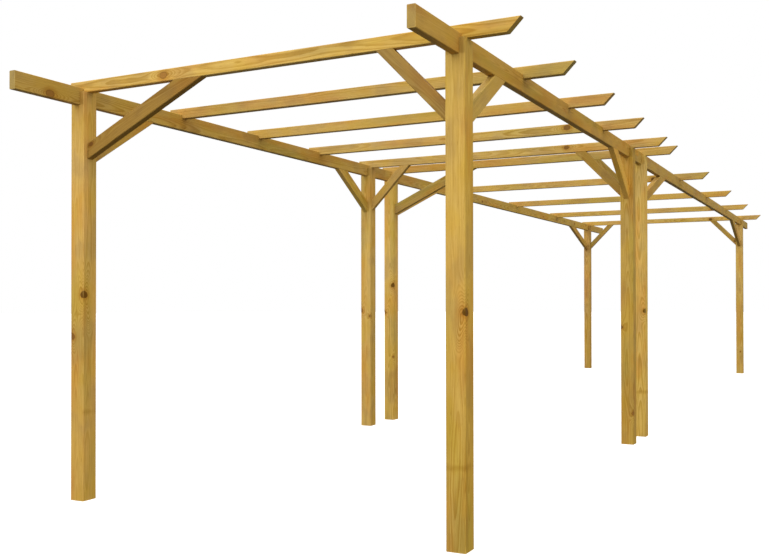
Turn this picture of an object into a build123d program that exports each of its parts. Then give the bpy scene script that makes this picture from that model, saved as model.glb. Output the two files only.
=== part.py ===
"""Garden pergola in two bays: slotted posts, side beams, notched rafters and mitred knee braces.

X runs across the walkway, Y runs along it from front to rear, Z is up. Millimetres.
"""

from build123d import *
from math import atan2, cos, sin
import os

os.makedirs("parts", exist_ok=True)

# Timber sections
post_side = 90
beam_thickness = 38
beam_height = 90
rafter_thickness = 38
rafter_height = 60
brace_thickness = 38
brace_depth = 75
short_rafter_brace_depth = 60
post_arris = 4
timber_arris = 2.5

# Layout, from post centre to post centre
span_across = 2160
front_bay = 3000
post_pair_pitch = 400
rear_bay = 6200
front_overhang = 440
rear_overhang = 820
rafter_left_end = 75
rafter_tail = 280
rafters_per_bay = 5

# Heights
post_height = 2130
rafter_housing = 22
tail_bevel_run = 60

# Knee braces: reach along the timber above, drop down the post
beam_brace_reach = 450
rear_beam_brace_reach = 860
beam_brace_drop = 300
rafter_brace_reach = 345
rafter_brace_drop = 350
long_rafter_brace_reach = 760
long_rafter_brace_drop = 350

# Half lap that joins the two lengths of each side beam
lap_length = 120

# Derived lines
overall_width = rafter_left_end + span_across + rafter_tail
overall_length = front_overhang + front_bay + post_pair_pitch + rear_bay + rear_overhang
left_x = rafter_left_end - overall_width / 2
right_x = left_x + span_across
front_y = front_overhang - overall_length / 2
middle_front_y = front_y + front_bay
middle_rear_y = middle_front_y + post_pair_pitch
rear_y = middle_rear_y + rear_bay
lap_y = (middle_front_y + middle_rear_y) / 2
beam_top = post_height + rafter_housing
beam_bottom = beam_top - beam_height
slot_depth = post_height - beam_bottom
front_rafter_y = [front_y + front_bay * i / (rafters_per_bay - 1) for i in range(rafters_per_bay)]
rear_rafter_y = [middle_rear_y + rear_bay * i / (rafters_per_bay - 1) for i in range(rafters_per_bay)]


def save(part, name):
    part.label = name
    export_step(part, f"parts/{name}.step")


def make_post(name, x, y):
    """Square post with eased edges and an open slot in its head that carries the side beam."""
    with BuildPart() as post:
        with BuildSketch(Plane.XY):
            with Locations((x, y)):
                Rectangle(post_side, post_side)
        extrude(amount=post_height)
        chamfer(post.edges().filter_by(Axis.Z), post_arris)
        with BuildSketch(Plane.XY.offset(post_height)):
            with Locations((x, y)):
                Rectangle(beam_thickness, post_side)
        extrude(amount=-slot_depth, mode=Mode.SUBTRACT)
    save(post.part, name)


def make_beam(name, x, y_start, y_end, lap_up, rafter_rows):
    """Side beam on edge, housed on top for the rafters and half lapped to the next length."""
    lap_end = y_end if lap_up else y_start
    lap_side = -1 if lap_up else 1
    lap_z = beam_bottom if lap_up else beam_bottom + beam_height / 2
    with BuildPart() as beam:
        with BuildSketch(Plane.YZ.offset(x)):
            with Locations(((y_start + y_end) / 2, beam_bottom + beam_height / 2)):
                Rectangle(y_end - y_start, beam_height)
        extrude(amount=beam_thickness / 2, both=True)
        chamfer(beam.edges().filter_by(Axis.Y), timber_arris)
        with BuildSketch(Plane.YZ.offset(x)):
            with Locations(*[(y, beam_top) for y in rafter_rows]):
                Rectangle(rafter_thickness, 2 * rafter_housing)
            with Locations((lap_end + lap_side * lap_length / 2, lap_z + beam_height / 4)):
                Rectangle(lap_length, beam_height / 2)
        extrude(amount=beam_thickness, both=True, mode=Mode.SUBTRACT)
    save(beam.part, name)


def make_rafter(name, y):
    """Rafter from just past the left posts to a bevelled tail beyond the right posts."""
    start = -overall_width / 2
    end = overall_width / 2
    top = post_height + rafter_height
    with BuildPart() as rafter:
        with BuildSketch(Plane.XZ.offset(-y)):
            with BuildLine():
                Polyline(
                    (start, post_height),
                    (end - tail_bevel_run, post_height),
                    (end, top),
                    (start, top),
                    close=True,
                )
            make_face()
        extrude(amount=rafter_thickness / 2, both=True)
        chamfer(rafter.edges().filter_by(Axis.X), timber_arris)
    save(rafter.part, name)


def make_brace(name, plane, face, underside, side, reach, drop, depth):
    """Knee brace mitred to the post's upright face and to the underside of the timber above."""
    slope = atan2(drop, reach)
    with BuildPart() as brace:
        with BuildSketch(plane):
            with BuildLine():
                Polyline(
                    (face, underside - drop),
                    (face + side * reach, underside),
                    (face + side * (reach - depth / sin(slope)), underside),
                    (face, underside - drop + depth / cos(slope)),
                    close=True,
                )
            make_face()
        extrude(amount=brace_thickness / 2, both=True)
        by_length = brace.edges().group_by(SortBy.LENGTH)
        chamfer(by_length[-1] + by_length[-2], timber_arris)
    save(brace.part, name)


def make_beam_brace(name, x, y, side, reach):
    """Brace in the side frame, from the post up to the beam."""
    face = y + side * post_side / 2
    make_brace(name, Plane.YZ.offset(x), face, beam_bottom, side, reach, beam_brace_drop, brace_depth)


def make_rafter_brace(name, x, y, side, reach, drop, depth):
    """Brace across the walkway, from the post up to its rafter."""
    face = x + side * post_side / 2
    make_brace(name, Plane.XZ.offset(-y), face, post_height, side, reach, drop, depth)


# Posts, each with its row and the way its two braces lean
rows = {
    "front": (front_y, 1, beam_brace_reach),
    "middle_front": (middle_front_y, -1, beam_brace_reach),
    "middle_rear": (middle_rear_y, 1, rear_beam_brace_reach),
    "rear": (rear_y, -1, rear_beam_brace_reach),
}
for row, (y, lean, reach) in rows.items():
    for hand, x, inward in (("left", left_x, 1), ("right", right_x, -1)):
        make_post(f"{row}_{hand}_post", x, y)
        make_beam_brace(f"{row}_{hand}_beam_brace", x, y, lean, reach)

# The leading left post of each bay has the long, deep rafter brace, the others the short one
for row, (y, lean, reach) in rows.items():
    if lean > 0:
        make_rafter_brace(f"{row}_left_rafter_brace", left_x, y, 1,
                          long_rafter_brace_reach, long_rafter_brace_drop, brace_depth)
    else:
        make_rafter_brace(f"{row}_left_rafter_brace", left_x, y, 1,
                          rafter_brace_reach, rafter_brace_drop, short_rafter_brace_depth)
    make_rafter_brace(f"{row}_right_rafter_brace", right_x, y, -1,
                      rafter_brace_reach, rafter_brace_drop, short_rafter_brace_depth)

# Side beams
for hand, x in (("left", left_x), ("right", right_x)):
    make_beam(f"front_{hand}_beam", x, front_y - front_overhang, lap_y + lap_length / 2, True,
              front_rafter_y)
    make_beam(f"rear_{hand}_beam", x, lap_y - lap_length / 2, rear_y + rear_overhang, False,
              rear_rafter_y)

# Rafters, numbered from the front
for number, y in enumerate(front_rafter_y + rear_rafter_y, start=1):
    make_rafter(f"rafter_{number}", y)
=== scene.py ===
"""Garden pergola: camera, studio and procedural timber for every piece of the frame.

Metres, +Z up, +Y along the walkway from front to rear, the same frame as the solids.
"""

import math
import random

import bpy
from mathutils import Matrix, Vector


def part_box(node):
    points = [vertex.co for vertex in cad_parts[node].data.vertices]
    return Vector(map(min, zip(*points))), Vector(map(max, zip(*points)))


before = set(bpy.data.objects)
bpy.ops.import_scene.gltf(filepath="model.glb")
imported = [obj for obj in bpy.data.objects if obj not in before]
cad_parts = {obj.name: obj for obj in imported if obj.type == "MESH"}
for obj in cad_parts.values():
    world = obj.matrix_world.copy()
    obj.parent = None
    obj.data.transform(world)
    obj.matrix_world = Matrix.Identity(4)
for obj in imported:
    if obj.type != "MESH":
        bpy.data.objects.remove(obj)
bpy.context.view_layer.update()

# Camera: place, turn in degrees, lens in millimetres, shift in pixels of a picture of this width
CAMERA_PLACE = (2.477, -8.367, 1.050)
CAMERA_YAW, CAMERA_PITCH, CAMERA_ROLL = 26.21, 0.5, -0.1
LENS, SENSOR_WIDTH = 41.38, 36
SHIFT_X, SHIFT_Y, PICTURE_WIDTH = -40.1, 10.5, 769
NEAREST, FARTHEST = 0.05, 200

# Floor disc, studio dome and softbox
FLOOR_RADIUS, FLOOR_SIDES, FLOOR_GREY = 60, 96, 0.62
DOME_LEVEL, DOME_TO_REAR, DOME_TO_RIGHT = 0.89, -0.37, 0.01
DOME_BELOW, DOME_ZENITH = 0.09, 2.5
DOME_WARM = (1.03, 0.97, 0.76, 1)
KEY_PLACE, KEY_TARGET = (-3.0, -16.0, 7.5), (0, -1, 1)
KEY_SIZE, KEY_POWER = 9, 400
WHITE = (1, 1, 1, 1)

# Sections of the timbers: half width and half depth
POST_HALF = (0.045, 0.045)
BEAM_HALF = (0.019, 0.045)
RAFTER_HALF = (0.03, 0.019)
BRACE_HALF = (0.019, 0.0375)
SHORT_BRACE_HALF = (0.019, 0.03)
LONG_BRACES = ("front_left_rafter_brace", "middle_rear_left_rafter_brace")

# Colours of the wood, linear red, green and blue
EARLY_WOOD = (0.710, 0.474, 0.125, 1)
LATE_WOOD = (0.537, 0.318, 0.056, 1)
KNOT_HEART = (0.440, 0.205, 0.042, 1)
KNOT_RIM = (0.118, 0.052, 0.001, 1)
# Painted highlight along the arrises
ARRIS_HIGHLIGHT_WOOD = (0.72, 0.49, 0.13, 1)

# Tones that multiply the colour: patches, fibres, resin, round knots, cut ends; on posts, painted
# shade towards the foot and on the slot cheeks, and marks
RUDDY_TONE = (0.98, 0.84, 0.74)
GREEN_TONE = (0.86, 0.92, 0.80)
YELLOW_TONE = (1.00, 0.98, 0.78)
DULL_TONE = (0.88, 0.88, 1.00)
FIBRE_TONE = (0.86, 0.82, 0.76)
FINE_FIBRE_TONE = (0.94, 0.92, 0.90)
RESIN_TONE = (0.62, 0.52, 0.42)
HALO_TONE = (0.86, 0.74, 0.58)
END_TONE = (0.75, 0.82, 1.05)
FOOT_SHADE_TONE = (0.86, 0.83, 0.72)
CHEEK_SHADE_TONE = (0.74, 0.72, 0.64)
MARK_TONE = (0.84, 0.79, 0.68)

# Heights on a post: from unshaded down to full painted shade at the foot, and across the floor of
# the slot, above which the cheeks get painted shade
UNSHADED_HEIGHT, FOOT_SHADE_HEIGHT = 1.9, 0.1
SLOT_FLOOR = (2.056, 2.068)

# Growth of the wood: ring width, how far a ring wavers and the pith strays, pith to centre
RING_WIDTHS = (0.0042, 0.0062)
RING_WAVER = 0.0075
PITH_DRIFT = 0.07
PITH_REACHES = (0.03, 0.075)
POST_PITH_SHARE = 0.3
PLACE_SEEDS = (0, 9)

# Pith behind a seen knot: how deep, and within which share of the face. A knot that is as near
# to two faces, but for this much, has it behind the arris between them
PITH_UNDER_FACE, PITH_WITHIN = 0.058, 0.6
NEAR_ARRIS, PITH_UNDER_ARRIS = 0.014, 0.041

# Random knots: length of timber for each, radius, darkness, least distance, tries
POST_KNOT_SPACING, KNOT_SPACING = 0.75, 1.05
KNOT_RADII = (0.006, 0.011)
KNOT_DARKNESS = (0.1, 0.9)
KNOT_APART = 0.28
KNOT_TRIES = 60
FIRST_SEED, SEED_STEP = 4100, 17

# Room at the edges in radii, share of the length that may have knots, least squareness to the
# face, how far a face is turned away from the camera, and the climb of a branch
EDGE_ROOM, KNOT_LENGTH, LEAST_SQUARE, TURNED_AWAY, BRANCH_CLIMB = 1.6, 0.94, 0.9, 0.3, 0.25

# How much a knot's height counts along the timber: rounder on posts, longer on the others
POST_KNOT_OVAL = (1, 1, 1.05)
KNOT_OVAL = (1, 1, 0.72)

# Knots seen on the timbers: a point on the face, the radius, and how dark the whole knot is
SEEN_KNOTS = {
    "front_right_post": [
        ((1.0225, -5.0235, 0.992), 0.018, 0.9),
    ],
    "front_left_post": [
        ((-1.138, -5.0285, 1.072), 0.019, 0.9),
        ((-1.220, -5.035, 0.855), 0.017, 0.6),
    ],
    "middle_front_left_post": [
        ((-1.2265, -2.034, 0.950), 0.016, 0.4),
        ((-1.1385, -2.034, 0.905), 0.010, 0.6),
    ],
    "middle_rear_left_post": [
        ((-1.1405, -1.634, 1.163), 0.018, 0.95),
        ((-1.2265, -1.634, 0.930), 0.014, 0.5),
        ((-1.1385, -1.634, 0.546), 0.009, 0.6),
    ],
    "middle_rear_right_post": [
        ((1.0215, -1.630, 0.951), 0.017, 0.95),
    ],
    "middle_front_right_post": [
        ((1.0215, -2.032, 0.225), 0.012, 0.3),
        ((0.9335, -2.0335, 0.840), 0.011, 0.6),
    ],
    "rafter_1": [((-0.622, -5.009, 2.160), 0.015, 0.0)],
    "front_left_beam": [((-1.163, -5.225, 2.080), 0.017, 0.1)],
    "front_left_rafter_brace": [((-1.112, -5.009, 1.856), 0.009, 0.4)],
    "rafter_4": [((0.758, -2.759, 2.168), 0.015, 0.6)],
    "rafter_5": [((0.524, -2.009, 2.169), 0.013, 0.6)],
    "rafter_7": [((0.762, -0.059, 2.152), 0.017, 0.9)],
    "rafter_9": [((0.841, 3.041, 2.155), 0.016, 0.9)],
    "rafter_10": [((0.592, 4.591, 2.155), 0.015, 0.9)],
}

# Starts of the names of timbers whose seen faces carry no other knots
NEAR = ("front", "middle", "rafter")

# Overgrown knots that only swirl the grain: a point on the face and the radius
SWIRLS = {
    "front_right_post": [((0.998, -5.035, 0.915), 0.020)],
    "front_left_post": [((-1.138, -5.005, 0.975), 0.020)],
}

# Faint dark marks across posts: the height, and how squarely a face looks along X to show it
MARKS = {
    "front_right_post": (0.350, 0.0),
    "front_left_post": (0.460, 0.7),
    "middle_rear_right_post": (0.338, 0.0),
}
MARK_WAVER, MARK_FADE = 0.03, 0.022

# Colour of each kind of timber and of single timbers against the rest, red, green and blue:
# partly their own colour, partly painted light and shade that sets how bright each one looks
# where it stands
KIND_TINTS_AND_SHADE = {
    "post": (1.00, 1.00, 1.00),
    "beam": (0.85, 0.88, 0.93),
    "beam_brace": (0.86, 0.83, 0.84),
    "rafter_brace": (0.72, 0.72, 0.72),
    "rafter": (0.91, 0.92, 1.05),
}
TIMBER_TINTS_AND_LIGHT = {
    "front_right_post": (0.97, 0.965, 0.91),
    "front_left_post": (0.96, 0.94, 0.98),
    "middle_front_right_post": (0.88, 0.88, 0.82),
    "middle_rear_right_post": (1.22, 1.30, 1.42),
    "middle_front_left_post": (1.00, 1.03, 1.24),
    "middle_rear_left_post": (1.18, 1.22, 1.40),
    "rear_left_post": (0.90, 0.87, 1.02),
    "rear_right_post": (0.97, 1.00, 1.15),
    "front_left_beam": (0.98, 0.95, 0.93),
    "front_right_beam": (1.05, 0.96, 0.82),
    "rear_right_beam": (0.95, 0.93, 0.92),
    "front_right_beam_brace": (1.08, 1.15, 1.22),
    "middle_front_left_beam_brace": (1.15, 1.18, 1.20),
    "middle_front_right_beam_brace": (1.38, 1.32, 1.06),
    "front_left_rafter_brace": (0.74, 0.66, 0.56),
    "front_right_rafter_brace": (0.80, 0.77, 0.78),
    "middle_front_left_rafter_brace": (1.24, 1.24, 1.40),
    "middle_front_right_rafter_brace": (0.82, 0.80, 0.76),
    "middle_rear_left_rafter_brace": (1.13, 1.18, 1.32),
    "rafter_1": (1.10, 1.09, 0.93),
}

# The same, as painted light, for the faces of a post that look along X, where they differ from
# its other faces
SIDE_PAINTED_LIGHT = {
    "front_right_post": (1.05, 1.06, 0.92),
    "front_left_post": (1.19, 1.18, 1.36),
}

# Brightness and warmth of the other timbers, drawn at random
SHADES = (0.94, 1.03)
WARMTHS = (-0.02, 0.02)

# Surface of planed softwood: relief in metres, and how little it shines
BUMP_STRENGTH, BUMP_DISTANCE = 0.35, 0.0006
SPECULAR = 0.07


def add_object(name, data):
    """New object in the scene."""
    made = bpy.data.objects.new(name, data)
    bpy.context.scene.collection.objects.link(made)
    return made


def make_camera():
    """Low three-quarter view past the front right post, 41 mm lens, slightly shifted."""
    data = bpy.data.cameras.new("camera")
    data.sensor_width = SENSOR_WIDTH
    data.lens = LENS
    data.shift_x = SHIFT_X / PICTURE_WIDTH
    data.shift_y = SHIFT_Y / PICTURE_WIDTH
    data.dof.use_dof = False
    data.clip_start, data.clip_end = NEAREST, FARTHEST
    yaw, pitch, roll = (math.radians(turn) for turn in (CAMERA_YAW, CAMERA_PITCH, CAMERA_ROLL))
    ahead = Vector((
        -math.sin(yaw) * math.cos(pitch),
        math.cos(yaw) * math.cos(pitch),
        math.sin(pitch),
    ))
    level = Vector((math.cos(yaw), math.sin(yaw), 0))
    above = level.cross(ahead)
    right = level * math.cos(roll) + above * math.sin(roll)
    up = above * math.cos(roll) - level * math.sin(roll)
    turn = Matrix((right, up, -ahead)).transposed()
    camera = add_object("camera", data)
    camera.matrix_world = Matrix.Translation(CAMERA_PLACE) @ turn.to_4x4()
    bpy.context.scene.camera = camera


class Net:
    """Short calls that add shader nodes to a tree and join them."""

    def __init__(self, tree):
        self.tree = tree

    def add(self, kind, **settings):
        node = self.tree.nodes.new(kind)
        for key, value in settings.items():
            setattr(node, key, value)
        return node

    def feed(self, socket, value):
        """Links a socket to another one, or sets it to a value."""
        if isinstance(value, bpy.types.NodeSocket):
            self.tree.links.new(value, socket)
        else:
            socket.default_value = value

    def math(self, operation, *values, clamp=False):
        node = self.add("ShaderNodeMath", operation=operation, use_clamp=clamp)
        for socket, value in zip(node.inputs, values):
            self.feed(socket, value)
        return node.outputs[0]

    def fold(self, operation, result, *others):
        """The same math operation over any number of values, from the first to the last."""
        for other in others:
            result = self.math(operation, result, other)
        return result

    def vector(self, operation, *values):
        node = self.add("ShaderNodeVectorMath", operation=operation)
        for socket, value in zip(node.inputs, values):
            self.feed(socket, value)
        single = operation in ("DOT_PRODUCT", "LENGTH")
        return node.outputs["Value" if single else "Vector"]

    def scale(self, vector, factor):
        node = self.add("ShaderNodeVectorMath", operation="SCALE")
        self.feed(node.inputs[0], vector)
        self.feed(node.inputs["Scale"], factor)
        return node.outputs["Vector"]

    def split(self, vector):
        """The outputs X, Y and Z of a vector."""
        node = self.add("ShaderNodeSeparateXYZ")
        self.feed(node.inputs[0], vector)
        return node.outputs

    def noise(self, vector, detail=2.0, roughness=0.5, output="Fac"):
        node = self.add("ShaderNodeTexNoise")
        self.feed(node.inputs["Vector"], vector)
        node.inputs["Scale"].default_value = 1.0
        node.inputs["Detail"].default_value = detail
        node.inputs["Roughness"].default_value = roughness
        return node.outputs[output]

    def line_noise(self, value):
        node = self.add("ShaderNodeTexNoise", noise_dimensions="1D")
        self.feed(node.inputs["W"], value)
        node.inputs["Scale"].default_value = 1.0
        node.inputs["Detail"].default_value = 1.0
        return node.outputs["Fac"]

    def ramp(self, value, low, high, to_low=0.0, to_high=1.0):
        """Smooth step from to_low at low to to_high at high."""
        node = self.add("ShaderNodeMapRange", interpolation_type="SMOOTHSTEP")
        for name, number in zip(("Value", "From Min", "From Max", "To Min", "To Max"),
                                (value, low, high, to_low, to_high)):
            self.feed(node.inputs[name], number)
        return node.outputs["Result"]

    def mix(self, share, first, second, blend="MIX"):
        """Mixes two colours. The node has inputs A and B for each type, so they go by number."""
        node = self.add("ShaderNodeMix", data_type="RGBA", blend_type=blend)
        self.feed(node.inputs[0], share)
        self.feed(node.inputs[6], first)
        self.feed(node.inputs[7], second)
        return node.outputs[2]

    def tone(self, share, colour, factor):
        """Multiplies a colour by factor, as far as share says."""
        return self.mix(share, colour, (*factor, 1), blend="MULTIPLY")


def empty_net(owner):
    """Clears the node tree of a material or world."""
    owner.use_nodes = True
    owner.node_tree.nodes.clear()
    return Net(owner.node_tree)


def new_group(name, inputs, outputs):
    """Node group with its sockets, given as lists of label and type."""
    group = bpy.data.node_groups.new(name, "ShaderNodeTree")
    for way, sockets in (("INPUT", inputs), ("OUTPUT", outputs)):
        for label, kind in sockets:
            group.interface.new_socket(label, in_out=way, socket_type="NodeSocket" + kind)
    net = Net(group)
    return group, net, net.add("NodeGroupInput").outputs, net.add("NodeGroupOutput").inputs


def make_knot_group():
    """A branch that starts at the pith: its disc, and how far it pushes the year rings out."""
    group, net, given, made = new_group(
        "knot",
        (("Local", "Vector"), ("Start", "Vector"), ("Way", "Vector"), ("Radius", "Float"),
         ("Oval", "Vector")),
        (("Bulge", "Float"), ("Swirl", "Float"), ("Mask", "Float"), ("Halo", "Float"),
         ("Tone", "Float")),
    )
    offset = net.vector("SUBTRACT", given["Local"], given["Start"])
    along = net.vector("DOT_PRODUCT", offset, given["Way"])
    side = net.vector("SUBTRACT", offset, net.scale(given["Way"], along))
    ahead = net.ramp(along, -0.004, 0.003)

    # The branch thickens on its way out, and its edge is a little ragged
    thickness = net.math("MINIMUM", net.math("MULTIPLY_ADD", along, 11.0, 0.5), 1.2)
    radius = net.math("MULTIPLY", given["Radius"], thickness)
    rough = net.noise(net.scale(given["Local"], 70.0), 2, output="Color")
    rough = net.vector("SUBTRACT", rough, (0.5, 0.5, 0.5))
    ragged = net.vector("ADD", side, net.scale(rough, net.math("MULTIPLY", given["Radius"], 0.3)))
    distance = net.vector("LENGTH", net.vector("MULTIPLY", ragged, given["Oval"]))
    share = net.math("DIVIDE", distance, radius)

    # The year rings swing round it in a long drop shape
    stretched = net.vector("LENGTH", net.vector("MULTIPLY", side, (1, 1, 0.34)))
    spread = net.math("DIVIDE", stretched, net.math("MULTIPLY", radius, 1.9))
    fall = net.math("EXPONENT", net.fold("MULTIPLY", spread, spread, -1.0))
    swirl = net.math("MULTIPLY", fall, ahead)
    push = net.math("MULTIPLY", given["Radius"], 1.7)
    net.feed(made["Bulge"], net.math("MULTIPLY", swirl, push))
    net.feed(made["Swirl"], swirl)

    # Its disc, the darker wood round it, and its own rings inside a dark rim
    net.feed(made["Mask"], net.math("MULTIPLY", ahead, net.ramp(share, 1.12, 0.86)))
    net.feed(made["Halo"], net.math("MULTIPLY", ahead, net.ramp(share, 2.6, 0.9)))
    rings = net.math("PINGPONG", net.math("MULTIPLY", distance, 520.0), 1.0)
    rim = net.ramp(share, 0.72, 0.98)
    net.feed(made["Tone"], net.math("MAXIMUM", rim, net.math("MULTIPLY", rings, 0.45)))
    return group


def make_timber_group():
    """Solid softwood: year rings, fibres, flecks, patches, end grain and a painted highlight on
    the arrises.
    """
    group, net, given, made = new_group(
        "timber",
        (("Local", "Vector"), ("Pith", "Vector"), ("Ring", "Float"), ("Seed", "Float"),
         ("Bulge", "Float"), ("Swirl", "Float"), ("Knot", "Float"), ("Halo", "Float"),
         ("Knot Tone", "Float"), ("Arris", "Float"), ("End", "Float"), ("Tint", "Color")),
        (("Color", "Color"), ("Roughness", "Float"), ("Height", "Float")),
    )
    # Each seed moves its timber to another place in the noise
    shift = net.scale((13.1, 7.7, 3.3), given["Seed"])
    place = net.vector("ADD", given["Local"], shift)

    def streak(across, along, detail, roughness=0.5, output="Fac"):
        """Noise with one scale across the grain and another along it."""
        stretched = net.vector("MULTIPLY", place, (across, across, along))
        return net.noise(stretched, detail, roughness, output)

    def patch(offset, scale):
        """Broad patches, apart from the other noise by an offset."""
        return net.noise(net.vector("MULTIPLY", net.vector("ADD", place, offset), scale), 2)

    # Year rings about a wandering pith, of uneven width, bolder in some places and round knots
    drift = net.vector("SUBTRACT", streak(0.7, 1.15, 1, output="Color"), (0.5, 0.5, 0.5))
    from_pith = net.vector("SUBTRACT", net.vector("SUBTRACT", given["Local"], given["Pith"]),
                           net.scale(drift, PITH_DRIFT))
    radius = net.vector("LENGTH", net.vector("MULTIPLY", from_pith, (1, 1, 0)))
    waver = net.math("MULTIPLY", net.math("SUBTRACT", streak(15, 4.5, 2), 0.5), RING_WAVER)
    radius = net.math("SUBTRACT", net.math("ADD", radius, waver), given["Bulge"])
    count = net.math("DIVIDE", radius, given["Ring"])
    uneven = net.line_noise(net.math("ADD", net.math("MULTIPLY", radius, 75.0), given["Seed"]))
    phase = net.math("FRACT", net.math("MULTIPLY_ADD", uneven, 1.3, count))
    late = net.math("MULTIPLY", net.ramp(phase, 0.25, 0.86), net.ramp(phase, 1.0, 0.9))
    bold = net.ramp(streak(5, 0.9, 1), 0.32, 0.68, 0.45, 1.0)
    bold = net.math("MAXIMUM", bold, net.math("MULTIPLY", given["Swirl"], 1.6))
    late = net.math("MULTIPLY", late, bold, clamp=True)

    # Fibres, resin flecks and broad patches of colour
    fibre = streak(360, 6, 3, 0.6)
    fine = streak(1100, 18, 2, 0.6)
    fleck = net.ramp(streak(700, 26, 1), 0.66, 0.74)
    ruddy = net.ramp(streak(11, 2.4, 2), 0.46, 0.70)
    green = net.ramp(patch((5, 9, 2), (8, 8, 1.0)), 0.48, 0.70)
    cloud = patch((3, 1, 8), (9, 9, 4.5))
    colour = net.mix(late, EARLY_WOOD, LATE_WOOD)
    for share, factor in (
        (ruddy, RUDDY_TONE),
        (green, GREEN_TONE),
        (net.ramp(cloud, 0.50, 0.34), YELLOW_TONE),
        (net.ramp(cloud, 0.49, 0.64), DULL_TONE),
        (net.ramp(fibre, 0.62, 0.30), FIBRE_TONE),
        (net.ramp(fine, 0.6, 0.35), FINE_FIBRE_TONE),
        (net.math("MULTIPLY", fleck, 0.6), RESIN_TONE),
        (given["Halo"], HALO_TONE),
    ):
        colour = net.tone(share, colour, factor)
    knot = net.mix(given["Knot Tone"], KNOT_HEART, KNOT_RIM)
    colour = net.mix(given["Knot"], colour, knot)
    colour = net.tone(given["End"], colour, END_TONE)

    # Painted highlight: arrises paler, here and there
    near_arris = net.ramp(given["Arris"], 0.0065, 0.0015)
    arris_highlight = net.math("MULTIPLY", near_arris, net.ramp(streak(25, 9, 3), 0.42, 0.62))
    colour = net.mix(net.math("MULTIPLY", arris_highlight, 0.4), colour, ARRIS_HIGHLIGHT_WOOD)
    # Tint: the timber's own colour, with painted light and shade
    colour = net.mix(1.0, colour, given["Tint"], blend="MULTIPLY")
    net.feed(made["Color"], colour)

    # Late wood and knots are smoother, cut ends rougher
    rough = net.math("MULTIPLY_ADD", fibre, 0.22, 0.55)
    rough = net.math("MULTIPLY_ADD", late, -0.08, rough)
    rough = net.math("MULTIPLY_ADD", given["Knot"], -0.14, rough)
    rough = net.math("MULTIPLY_ADD", given["End"], 0.16, rough, clamp=True)
    net.feed(made["Roughness"], rough)

    height = net.math("MULTIPLY_ADD", late, 0.35, net.math("MULTIPLY", fibre, 0.5))
    height = net.math("MULTIPLY_ADD", fine, 0.25, height)
    height = net.math("MULTIPLY_ADD", given["Knot"], 0.5, height)
    height = net.math("MULTIPLY_ADD", fleck, -0.5, height)
    net.feed(made["Height"], height)
    return group


def frame_along(direction, side):
    """Turn whose third axis runs along the timber and whose first axis is side."""
    along = Vector(direction).normalized()
    first = Vector(side).normalized()
    second = along.cross(first)
    return Matrix((first, second, along)).transposed()


def kind_of(name):
    """Post, beam, rafter, beam_brace or rafter_brace, from the name of the node."""
    if name.startswith("rafter"):
        return "rafter"
    return name.replace("right", "left").split("left_")[1]


def timber_frame(name):
    """Centre, turn, half section and half length of a timber, from its name and its box."""
    low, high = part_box(name)
    centre = (Vector(low) + Vector(high)) / 2
    size = Vector(high) - Vector(low)
    kind = kind_of(name)
    if kind == "post":
        return centre, frame_along((0, 0, 1), (1, 0, 0)), POST_HALF, size.z / 2
    if kind == "beam":
        return centre, frame_along((0, 1, 0), (1, 0, 0)), BEAM_HALF, size.y / 2
    if kind == "rafter":
        return centre, frame_along((1, 0, 0), (0, 0, -1)), RAFTER_HALF, size.x / 2
    if kind == "beam_brace":
        rise = 1 if name.startswith(("front", "middle_rear")) else -1
        along, side, half = Vector((0, rise * size.y, size.z)), Vector((1, 0, 0)), BRACE_HALF
    else:
        rise = 1 if "_left_" in name else -1
        along, side = Vector((rise * size.x, 0, size.z)), Vector((0, 1, 0))
        half = BRACE_HALF if name in LONG_BRACES else SHORT_BRACE_HALF
    # The diagonal of the box is the lower edge, so the middle line lies half a depth above it
    inward = along.cross(side).normalized()
    centre += inward * math.copysign(half[1], inward.z)
    return centre, frame_along(along, side), half, size.length / 2


def pith_behind(point, half):
    """Pith straight behind a point on a face or an arris, so that the knot there opens round."""
    depths = half[0] - abs(point.x), half[1] - abs(point.y)
    if abs(depths[0] - depths[1]) < NEAR_ARRIS:
        return (*(math.copysign(half[i] - PITH_UNDER_ARRIS, point[i]) for i in (0, 1)), 0)
    axis = 0 if depths[0] < depths[1] else 1
    other = 1 - axis
    pith = [0, 0, 0]
    pith[axis] = math.copysign(1, point[axis]) * (half[axis] - PITH_UNDER_FACE)
    limit = PITH_WITHIN * half[other]
    pith[other] = max(-limit, min(limit, point[other]))
    return tuple(pith)


def random_knot(half, length, rng):
    """Axis and way out of a wide face, a point on that face, a radius and a darkness."""
    wide = [axis for axis in (0, 1) if half[axis] == min(half)]
    axis, way = rng.choice(wide), rng.choice((-1, 1))
    radius, dark = rng.uniform(*KNOT_RADII), rng.uniform(*KNOT_DARKNESS)
    room = EDGE_ROOM * radius
    point = Vector([rng.uniform(-1, 1) * max(0, edge - room) for edge in half] + [0])
    point[axis] = way * half[axis]
    point.z = rng.uniform(-KNOT_LENGTH, KNOT_LENGTH) * length
    return axis, way, point, radius, dark


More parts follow.
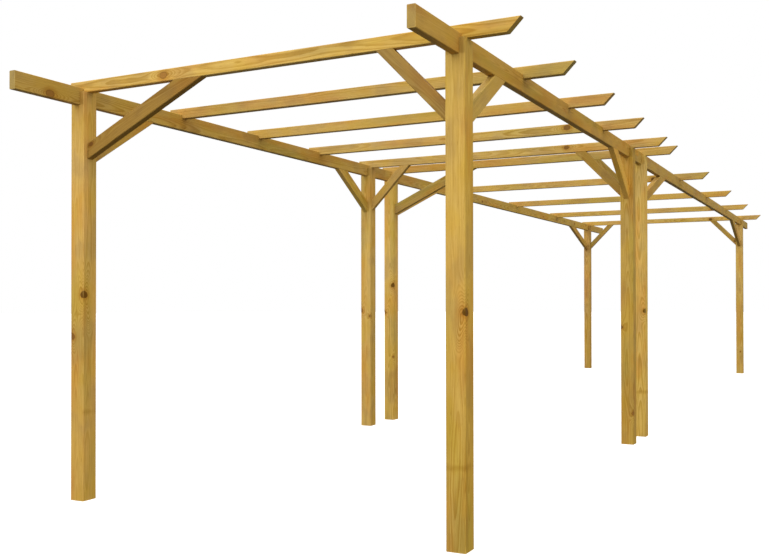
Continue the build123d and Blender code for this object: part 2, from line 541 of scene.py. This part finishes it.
def knots_of(name, centre, turn, half, length, pith, rng):
    """Start, way, radius and darkness of each knot, in the timber's axes; swirls have none."""
    back = turn.transposed()
    points = [(back @ (Vector(point) - centre), radius, dark)
              for point, radius, dark in SEEN_KNOTS.get(name, [])]
    points += [(back @ (Vector(point) - centre), radius, None)
               for point, radius in SWIRLS.get(name, [])]
    spacing = POST_KNOT_SPACING if kind_of(name) == "post" else KNOT_SPACING
    wanted = max(1, round(2 * length / spacing))
    for _ in range(KNOT_TRIES):
        axis, way, point, radius, dark = random_knot(half, length, rng)
        outward = turn.col[axis] * way
        branch = Vector(point[:2]) - Vector(pith[:2])
        unseen = outward.y > -TURNED_AWAY and outward.x < TURNED_AWAY
        inside = way * pith[axis] > -half[axis]
        allowed = (unseen and inside) or not name.startswith(NEAR)
        apart = all(abs(point.z - other[0].z) > KNOT_APART for other in points)
        square = way * branch[axis] > LEAST_SQUARE * branch.length
        if len(points) < wanted and allowed and apart and square:
            points.append((point, radius, dark))
    found = []
    for point, radius, dark in points:
        # A branch climbs a little between the pith and the face
        rise = BRANCH_CLIMB * (Vector(point[:2]) - Vector(pith[:2])).length
        start = Vector((pith[0], pith[1], point.z - rise))
        found.append((start, (point - start).normalized(), radius, dark))
    return found


def post_tint(net, name, place, local, tint):
    """Posts get painted shade towards the foot and on the front and back of the slot cheeks,
    painted light on the sides of some, and marks on some.
    """
    height = net.split(place.outputs["Object"])["Z"]
    facing = net.split(net.vector("ABSOLUTE", place.outputs["Normal"]))
    # Painted shade: the colour darkens towards the foot
    tint = net.tone(net.ramp(height, UNSHADED_HEIGHT, FOOT_SHADE_HEIGHT), tint, FOOT_SHADE_TONE)
    # Painted shade on the faces that look along Y above the slot floor: the cheeks beside the
    # beam
    cheek_shade = net.math("MULTIPLY", net.ramp(height, *SLOT_FLOOR), net.ramp(facing["Y"], 0.3, 0.8))
    tint = net.tone(cheek_shade, tint, CHEEK_SHADE_TONE)
    # Painted light: the faces that look along X get their own brightness and hue
    if name in SIDE_PAINTED_LIGHT:
        tint = net.tone(net.ramp(facing["X"], 0.3, 0.9), tint, SIDE_PAINTED_LIGHT[name])
    if name in MARKS:
        level, square = MARKS[name]
        waver = net.noise(net.scale(local, 22.0), 2)
        middle = net.math("MULTIPLY_ADD", waver, MARK_WAVER, level - MARK_WAVER / 2)
        away = net.math("ABSOLUTE", net.math("SUBTRACT", height, middle))
        patchy = net.ramp(net.noise(net.vector("MULTIPLY", local, (16, 16, 0)), 1), 0.30, 0.50)
        patchy = net.math("MULTIPLY", patchy, net.ramp(facing["X"], square - 0.3, square))
        mark = net.math("MULTIPLY", patchy, net.ramp(away, MARK_FADE, 0.0))
        tint = net.tone(mark, tint, MARK_TONE)
    return tint


def make_timber(name, groups, rng):
    """The material of one timber, with its own pith, rings, tint and knots."""
    centre, turn, half, length = timber_frame(name)
    is_post = kind_of(name) == "post"
    material = bpy.data.materials.new("timber_" + name)
    net = empty_net(material)
    place = net.add("ShaderNodeTexCoord")
    settle = net.add("ShaderNodeMapping", vector_type="TEXTURE")
    net.feed(settle.inputs["Vector"], place.outputs["Object"])
    settle.inputs["Location"].default_value = centre
    settle.inputs["Rotation"].default_value = turn.to_euler("XYZ")
    local = settle.outputs["Vector"]

    reach, angle = rng.uniform(*PITH_REACHES), rng.uniform(0, math.tau)
    if name in SEEN_KNOTS:
        first = Vector(SEEN_KNOTS[name][0][0])
        pith = pith_behind(turn.transposed() @ (first - centre), half)
    else:
        inside = POST_PITH_SHARE if is_post else 1
        pith = (inside * math.cos(angle) * reach, inside * math.sin(angle) * reach, 0)

    bulge, swirl, knot, halo, tone = 0.0, 0.0, 0.0, 0.0, 0.0
    for start, way, radius, dark in knots_of(name, centre, turn, half, length, pith, rng):
        one = net.add("ShaderNodeGroup", node_tree=groups["knot"])
        net.feed(one.inputs["Local"], local)
        one.inputs["Start"].default_value = start
        one.inputs["Way"].default_value = way
        one.inputs["Radius"].default_value = radius
        one.inputs["Oval"].default_value = POST_KNOT_OVAL if is_post else KNOT_OVAL
        bulge = net.math("ADD", one.outputs["Bulge"], bulge)
        swirl = net.math("MAXIMUM", one.outputs["Swirl"], swirl)
        if dark is None:
            continue
        halo = net.math("MAXIMUM", one.outputs["Halo"], halo)
        tone = net.math("MULTIPLY_ADD", net.math("MAXIMUM", one.outputs["Tone"], dark),
                        one.outputs["Mask"], tone)
        knot = net.math("MAXIMUM", one.outputs["Mask"], knot)

    # Distance from the nearest arris: the middle one of the distances from the three faces
    split = net.split(net.vector("ABSOLUTE", local))
    gaps = [net.math("SUBTRACT", edge, split[axis])
            for axis, edge in zip("XYZ", (*half, length))]
    total = net.fold("ADD", *gaps)
    widest = net.fold("MAXIMUM", *gaps)
    least = net.fold("MINIMUM", *gaps)
    arris = net.math("SUBTRACT", net.math("SUBTRACT", total, widest), least)
    across = net.vector("DOT_PRODUCT", place.outputs["Normal"], turn.col[2])
    end = net.ramp(net.math("ABSOLUTE", across), 0.35, 0.75)

    timber = net.add("ShaderNodeGroup", node_tree=groups["timber"])
    timber.inputs["Pith"].default_value = pith
    timber.inputs["Ring"].default_value = rng.uniform(*RING_WIDTHS)
    timber.inputs["Seed"].default_value = rng.uniform(*PLACE_SEEDS)
    shade, warm = rng.uniform(*SHADES), rng.uniform(*WARMTHS)
    # Each timber's tint: partly its own colour, partly painted light and shade
    tint = TIMBER_TINTS_AND_LIGHT.get(name, (shade, shade * (1 - warm), shade * (1 - 3 * warm)))
    tint = (*(one * other for one, other in zip(tint, KIND_TINTS_AND_SHADE[kind_of(name)])), 1)
    if is_post:
        tint = post_tint(net, name, place, local, tint)
    for label, value in (
        ("Local", local), ("Bulge", bulge), ("Swirl", swirl), ("Knot", knot), ("Halo", halo),
        ("Knot Tone", tone), ("Arris", arris), ("End", end), ("Tint", tint),
    ):
        net.feed(timber.inputs[label], value)

    bump = net.add("ShaderNodeBump")
    bump.inputs["Strength"].default_value = BUMP_STRENGTH
    bump.inputs["Distance"].default_value = BUMP_DISTANCE
    net.feed(bump.inputs["Height"], timber.outputs["Height"])
    shader = net.add("ShaderNodeBsdfPrincipled")
    shader.inputs["Specular IOR Level"].default_value = SPECULAR
    net.feed(shader.inputs["Base Color"], timber.outputs["Color"])
    net.feed(shader.inputs["Roughness"], timber.outputs["Roughness"])
    net.feed(shader.inputs["Normal"], bump.outputs["Normal"])
    output = net.add("ShaderNodeOutputMaterial")
    net.feed(output.inputs["Surface"], shader.outputs["BSDF"])
    return material


def dress_timbers():
    """Gives every solid its own timber, with a fixed seed."""
    groups = {"knot": make_knot_group(), "timber": make_timber_group()}
    for number, name in enumerate(sorted(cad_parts)):
        material = make_timber(name, groups, random.Random(FIRST_SEED + SEED_STEP * number))
        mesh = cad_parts[name].data
        mesh.materials.clear()
        mesh.materials.append(material)


def make_floor():
    """Plain pale floor, a large disc."""
    mesh = bpy.data.meshes.new("floor")
    turns = [math.tau * side / FLOOR_SIDES for side in range(FLOOR_SIDES)]
    ring = [(FLOOR_RADIUS * math.cos(turn), FLOOR_RADIUS * math.sin(turn), 0) for turn in turns]
    mesh.from_pydata(ring, [], [tuple(range(FLOOR_SIDES))])
    floor = add_object("floor", mesh)
    material = bpy.data.materials.new("pale_floor")
    net = empty_net(material)
    matt = net.add("ShaderNodeBsdfDiffuse")
    matt.inputs["Color"].default_value = (FLOOR_GREY, FLOOR_GREY, FLOOR_GREY, 1)
    glow = net.add("ShaderNodeEmission")
    glow.inputs["Color"].default_value = WHITE
    glow.inputs["Strength"].default_value = FLOOR_GREY
    both = net.add("ShaderNodeAddShader")
    net.feed(both.inputs[0], matt.outputs["BSDF"])
    net.feed(both.inputs[1], glow.outputs["Emission"])
    output = net.add("ShaderNodeOutputMaterial")
    net.feed(output.inputs["Surface"], both.outputs["Shader"])
    mesh.materials.append(material)
    floor.visible_diffuse = False
    floor.visible_glossy = False


def make_world():
    """Soft studio dome: brightest in front and overhead, dim below, plain white to the camera."""
    world = bpy.data.worlds.new("studio")
    net = empty_net(world)
    way = net.split(net.add("ShaderNodeTexCoord").outputs["Generated"])
    front = net.math("MULTIPLY_ADD", way["Y"], DOME_TO_REAR, DOME_LEVEL)
    front = net.math("MULTIPLY_ADD", way["X"], DOME_TO_RIGHT, front)
    lifted = net.ramp(way["Z"], -0.7, 0.15, DOME_BELOW, 1.0)
    zenith = net.ramp(way["Z"], 0.62, 0.92, 1.0, DOME_ZENITH)
    soft = net.add("ShaderNodeBackground")
    net.feed(soft.inputs["Color"], net.mix(net.ramp(way["X"], 0.1, 1.0), WHITE, DOME_WARM))
    net.feed(soft.inputs["Strength"], net.fold("MULTIPLY", front, lifted, zenith))
    white = net.add("ShaderNodeBackground")
    white.inputs["Color"].default_value = WHITE
    white.inputs["Strength"].default_value = 1.0
    path = net.add("ShaderNodeLightPath")
    pick = net.add("ShaderNodeMixShader")
    net.feed(pick.inputs[0], path.outputs["Is Camera Ray"])
    net.feed(pick.inputs[1], soft.outputs["Background"])
    net.feed(pick.inputs[2], white.outputs["Background"])
    output = net.add("ShaderNodeOutputWorld")
    net.feed(output.inputs["Surface"], pick.outputs["Shader"])
    bpy.context.scene.world = world


def make_key_light():
    """One large softbox, high in front and to the left."""
    data = bpy.data.lights.new("key", "AREA")
    data.shape = "DISK"
    data.size = KEY_SIZE
    data.energy = KEY_POWER
    key = add_object("key", data)
    key.location = KEY_PLACE
    key.rotation_mode = "QUATERNION"
    key.rotation_quaternion = (Vector(KEY_TARGET) - key.location).to_track_quat("-Z", "Y")


make_camera()
dress_timbers()
make_floor()
make_world()
make_key_light()
bpy.context.scene.view_settings.view_transform = "Standard"
